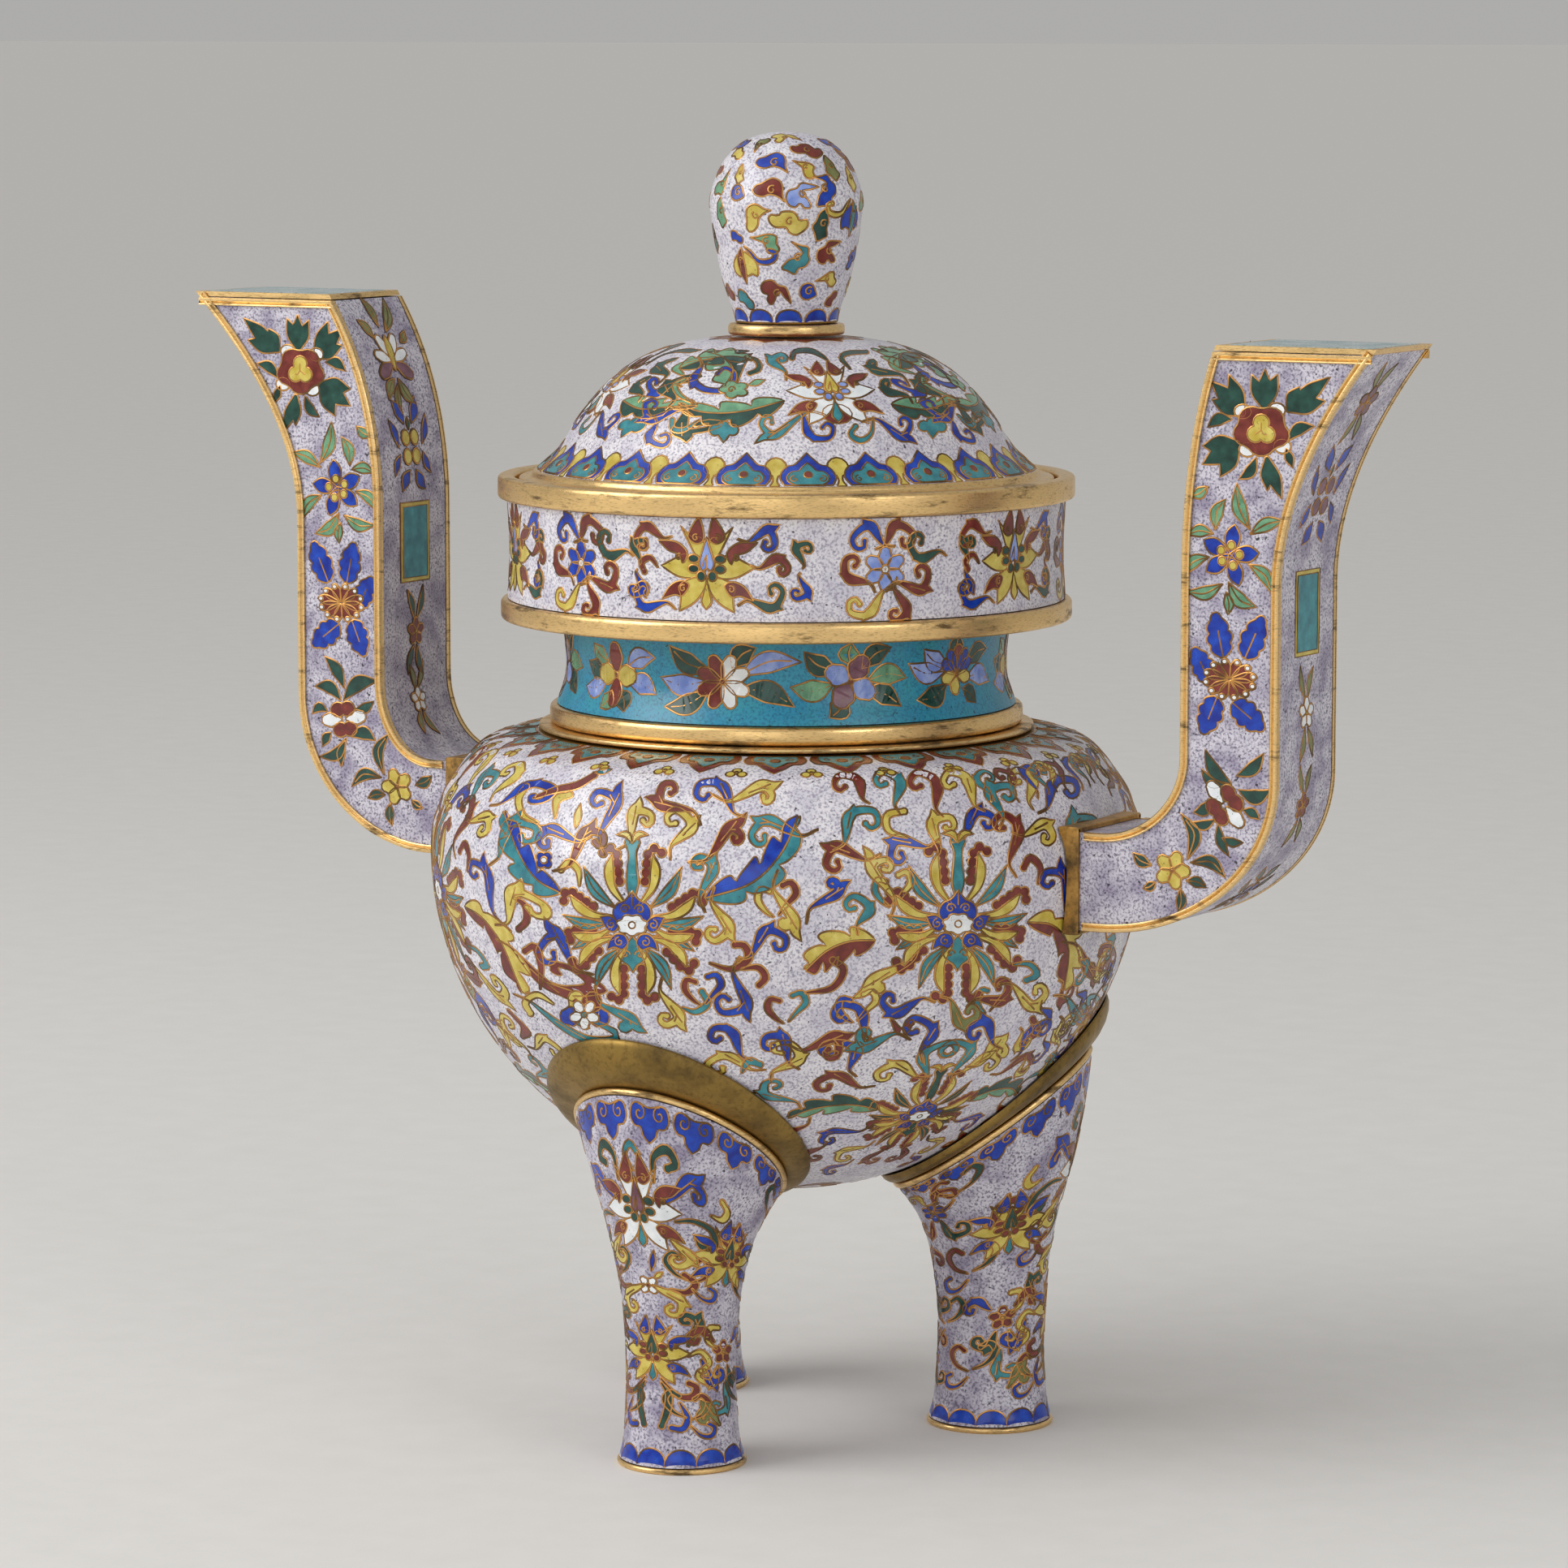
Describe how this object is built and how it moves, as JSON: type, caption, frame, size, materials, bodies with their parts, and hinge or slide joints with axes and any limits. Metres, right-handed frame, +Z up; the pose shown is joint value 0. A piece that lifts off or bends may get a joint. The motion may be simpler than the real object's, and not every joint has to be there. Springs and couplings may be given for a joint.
{
  "type": "tripod incense burner",
  "caption": "Round enamelled incense burner on three flared legs, with tall box handles, a lift-off neck section and a lift-off domed cover with an egg-shaped finial.",
  "frame": {"origin": "on the surface that it stands on, under the vessel's own axis", "axes": "+Z up along the vessel axis; +X through the right handle; -Y towards the front leg"},
  "size_m": [0.426, 0.2266, 0.4134],
  "materials": {
    "enamelled_copper": "fired enamel over wired copper, glossy with fine pits",
    "neck_enamel": "turquoise fired enamel over wired copper, glossy",
    "gilt_copper": "gilded copper, bright on the edges and brown in the hollows",
    "dull_gilt": "worn gilding, dull and brown",
    "plain_brass": "unpolished brass"
  },
  "bodies": {
    "bowl": {"bowl_shell": "enamelled_copper", "bowl_mouth_ring": "gilt_copper", "front_leg_tube": "enamelled_copper", "front_leg_bead": "gilt_copper", "front_leg_collar": "dull_gilt", "front_foot_rim": "gilt_copper", "front_foot_sole": "plain_brass", "front_leg_bridge": "plain_brass", "front_leg_bolt": "plain_brass", "right_leg_tube": "enamelled_copper", "right_leg_bead": "gilt_copper", "right_leg_collar": "dull_gilt", "right_foot_rim": "gilt_copper", "right_foot_sole": "plain_brass", "right_leg_bridge": "plain_brass", "right_leg_bolt": "plain_brass", "left_leg_tube": "enamelled_copper", "left_leg_bead": "gilt_copper", "left_leg_collar": "dull_gilt", "left_foot_rim": "gilt_copper", "left_foot_sole": "plain_brass", "left_leg_bridge": "plain_brass", "left_leg_bolt": "plain_brass", "right_handle_front_plate": "enamelled_copper", "right_handle_back_plate": "enamelled_copper", "right_handle_front_edging": "gilt_copper", "right_handle_back_edging": "gilt_copper", "right_handle_outer_strip": "enamelled_copper", "right_handle_inner_strip": "enamelled_copper", "right_handle_top_cap": "enamelled_copper", "right_handle_root_frame": "dull_gilt", "right_handle_root_block": "plain_brass", "right_handle_lower_bolt": "plain_brass", "right_handle_upper_bolt": "plain_brass", "left_handle_front_plate": "enamelled_copper", "left_handle_back_plate": "enamelled_copper", "left_handle_front_edging": "gilt_copper", "left_handle_back_edging": "gilt_copper", "left_handle_outer_strip": "enamelled_copper", "left_handle_inner_strip": "enamelled_copper", "left_handle_top_cap": "enamelled_copper", "left_handle_root_frame": "dull_gilt", "left_handle_root_block": "plain_brass", "left_handle_lower_bolt": "plain_brass", "left_handle_upper_bolt": "plain_brass"},
    "neck_section": {"neck_foot_ring": "gilt_copper", "neck_band": "neck_enamel", "neck_spigot": "plain_brass", "collar_foot_ring": "gilt_copper", "collar_band": "enamelled_copper", "collar_rim_ring": "gilt_copper"},
    "cover": {"cover_rim_ring": "gilt_copper", "cover_sleeve": "plain_brass", "cover_dome": "enamelled_copper", "finial_base_ring": "gilt_copper", "finial_shell": "enamelled_copper", "finial_stud": "plain_brass", "finial_washer": "plain_brass", "finial_nut": "plain_brass"}
  },
  "joints": [
    {"name": "neck_lift", "type": "slide", "parent": "bowl", "child": "neck_section", "axis": [0, 0, 1], "range_m": [0, 0.16]},
    {"name": "cover_lift", "type": "slide", "parent": "neck_section", "child": "cover", "axis": [0, 0, 1], "range_m": [0, 0.12]}
  ]
}
